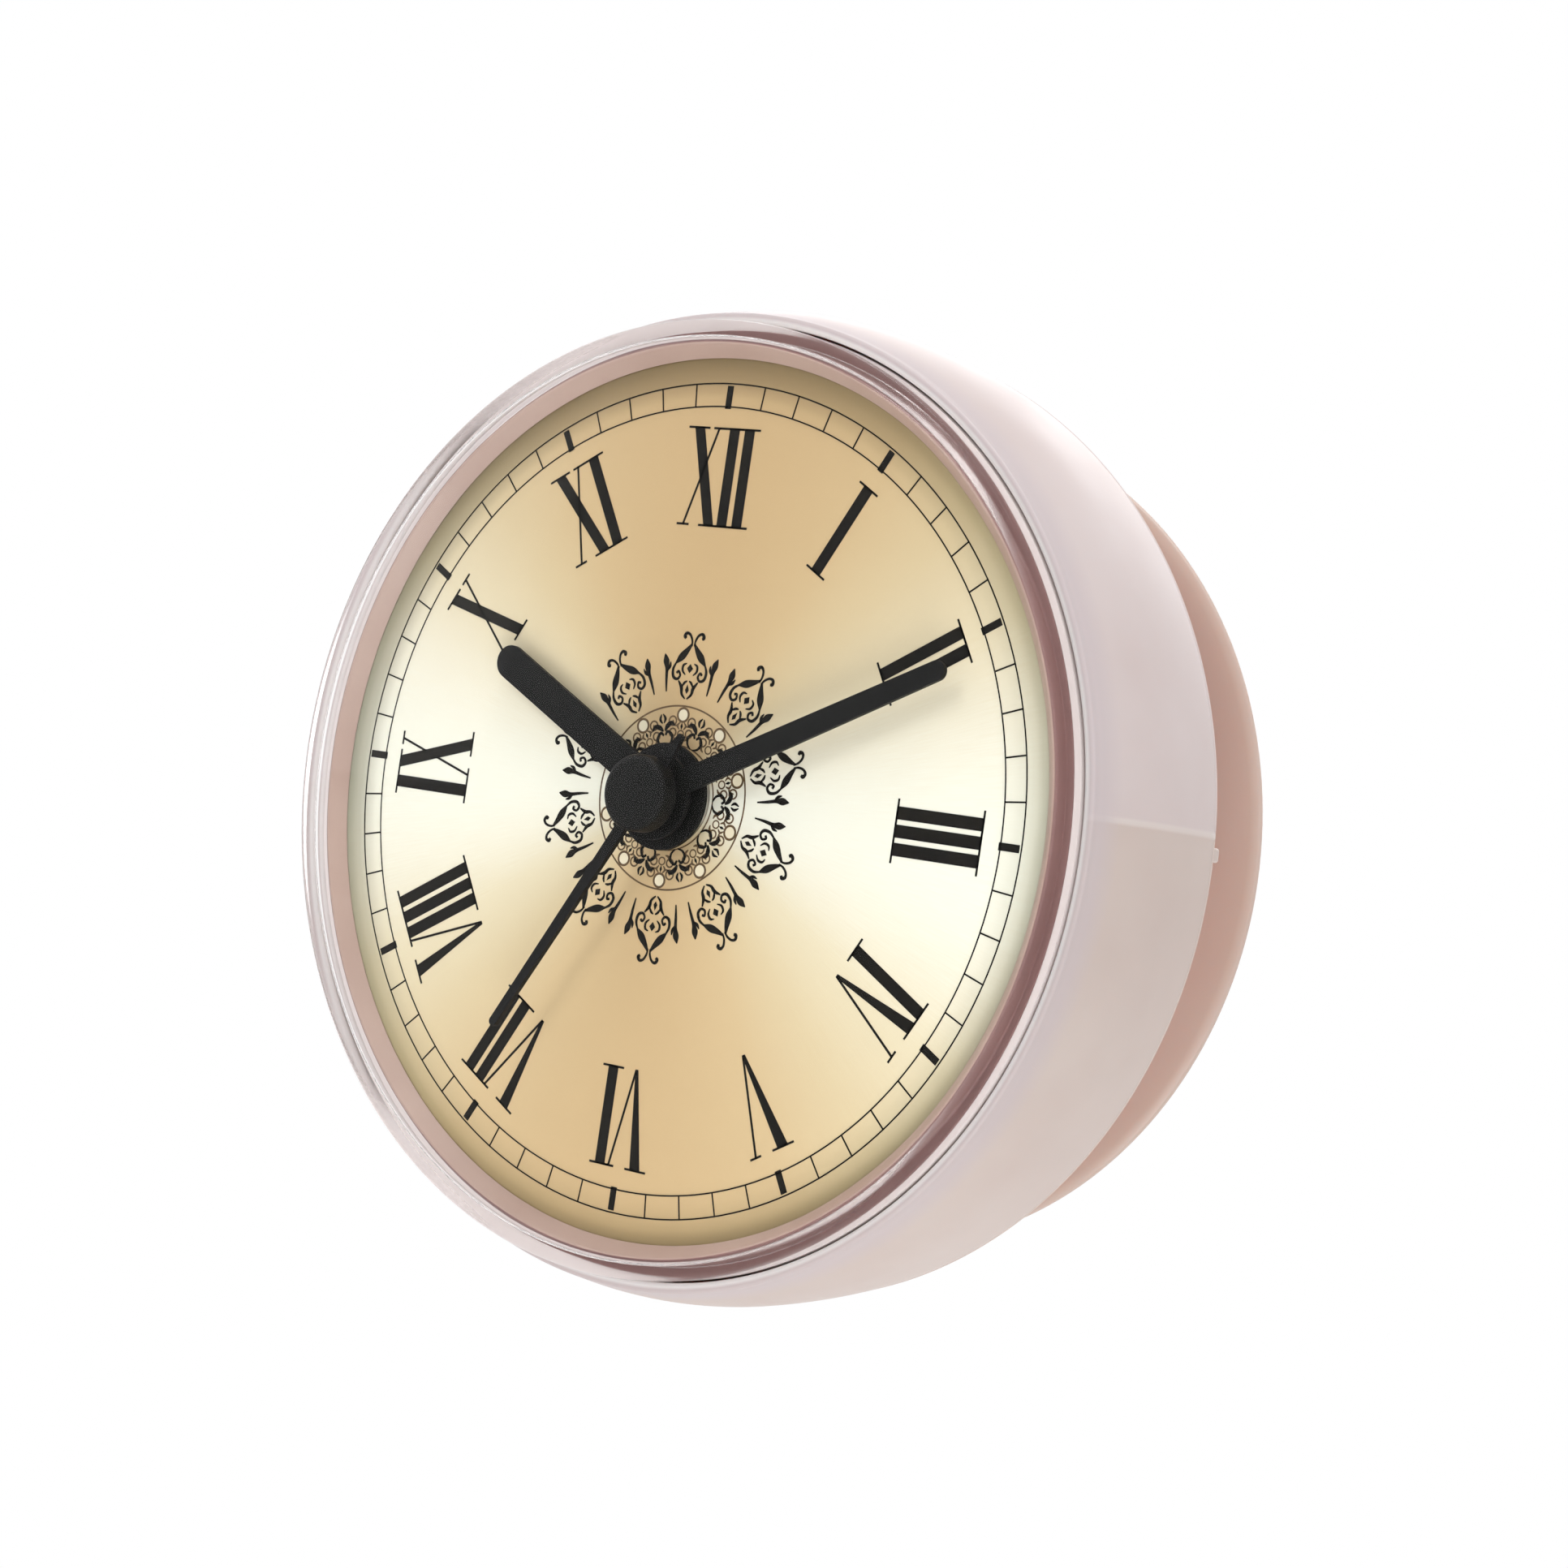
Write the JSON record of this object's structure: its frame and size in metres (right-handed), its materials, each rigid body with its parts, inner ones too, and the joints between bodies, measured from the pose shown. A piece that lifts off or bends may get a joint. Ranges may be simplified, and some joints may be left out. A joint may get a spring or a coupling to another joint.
{
  "type": "suction wall clock",
  "caption": "Small round bathroom wall clock: clear domed lens over a gold dial with Roman numerals and black hands, in a pink barrel holder with a suction cup.",
  "frame": {"origin": "centre of the suction cup's rim, on the wall plane", "axes": "+Y from the clock into the wall, -Y out of the dial, +Z to twelve o'clock, +X to three o'clock seen from the front"},
  "size_m": [0.07, 0.0349, 0.07],
  "materials": {
    "shell_pink": "satin, pale pink",
    "cup_pink": "satin, salmon",
    "case_pink": "satin, dusky pink",
    "seal_mauve": "matt, dark mauve",
    "clear_plastic": "polished, clear",
    "dial_gold": "gold print, sunray brushed",
    "hand_black": "black lacquer",
    "natural_plastic": "moulded, natural white",
    "brass": "stamped sheet",
    "steel": "bright",
    "magnet": "dark, ground",
    "copper": "enamelled copper wire",
    "board_green": "solder mask",
    "chip_black": "epoxy"
  },
  "bodies": {
    "holder": {"body_shell": "shell_pink", "suction_cup": "cup_pink"},
    "module": {"lens": "clear_plastic", "module_case": "case_pink", "module_cover": "case_pink", "lens_gasket": "seal_mauve", "dial": "dial_gold", "cover_seal": "seal_mauve", "cover_screw_1": "steel", "cover_screw_2": "steel", "cover_screw_3": "steel", "battery_cell": "steel", "contact_negative": "brass", "contact_positive": "brass", "movement_plate": "natural_plastic", "movement_bridge": "natural_plastic", "stator": "steel", "coil_core": "steel", "coil_winding": "copper", "circuit_board": "board_green", "clock_chip": "chip_black", "quartz_crystal": "steel"},
    "second_train": {"second_wheel": "natural_plastic", "second_hand": "hand_black"},
    "minute_train": {"centre_wheel": "natural_plastic", "minute_hand": "hand_black"},
    "hour_train": {"hour_wheel": "natural_plastic", "hour_hand": "hand_black"},
    "third": {"third_wheel": "natural_plastic"},
    "fifth": {"fifth_wheel": "natural_plastic"},
    "rotor": {"rotor": "magnet"},
    "motion": {"motion_wheel": "natural_plastic", "setting_knob": "natural_plastic"},
    "door": {"battery_door": "case_pink"}
  },
  "joints": [
    {"name": "module_pull", "type": "slide", "parent": "holder", "child": "module", "axis": [0, -1, 0], "range_m": [0, 0.03]},
    {"name": "second_spin", "type": "hinge", "parent": "module", "child": "second_train", "pos_m": [0, -0.0236, 0], "axis": [0, 1, 0], "continuous": true},
    {"name": "minute_spin", "type": "hinge", "parent": "module", "child": "minute_train", "pos_m": [0, -0.0236, 0], "axis": [0, 1, 0], "continuous": true},
    {"name": "hour_spin", "type": "hinge", "parent": "module", "child": "hour_train", "pos_m": [0, -0.0236, 0], "axis": [0, 1, 0], "continuous": true},
    {"name": "third_spin", "type": "hinge", "parent": "module", "child": "third", "pos_m": [-0.00113, -0.0236, 0.00638], "axis": [0, 1, 0], "continuous": true},
    {"name": "fifth_spin", "type": "hinge", "parent": "module", "child": "fifth", "pos_m": [-0.00651, -0.0236, -0.00115], "axis": [0, 1, 0], "continuous": true},
    {"name": "rotor_spin", "type": "hinge", "parent": "module", "child": "rotor", "pos_m": [-0.01057, -0.0236, -0.00263], "axis": [0, 1, 0], "continuous": true},
    {"name": "motion_spin", "type": "hinge", "parent": "module", "child": "motion", "pos_m": [0.00589, -0.0236, -0.0034], "axis": [0, 1, 0], "continuous": true},
    {"name": "door_turn", "type": "hinge", "parent": "module", "child": "door", "pos_m": [0, -0.0182, -0.01897], "axis": [0, 1, 0], "range_deg": [0, 60]}
  ],
  "couplings": [
    {"joint": "minute_spin", "follows": "second_spin", "ratio": 0.016667},
    {"joint": "hour_spin", "follows": "second_spin", "ratio": 0.0013889},
    {"joint": "third_spin", "follows": "second_spin", "ratio": -0.13333},
    {"joint": "fifth_spin", "follows": "second_spin", "ratio": -6},
    {"joint": "rotor_spin", "follows": "second_spin", "ratio": 30},
    {"joint": "motion_spin", "follows": "second_spin", "ratio": -0.0055556}
  ]
}
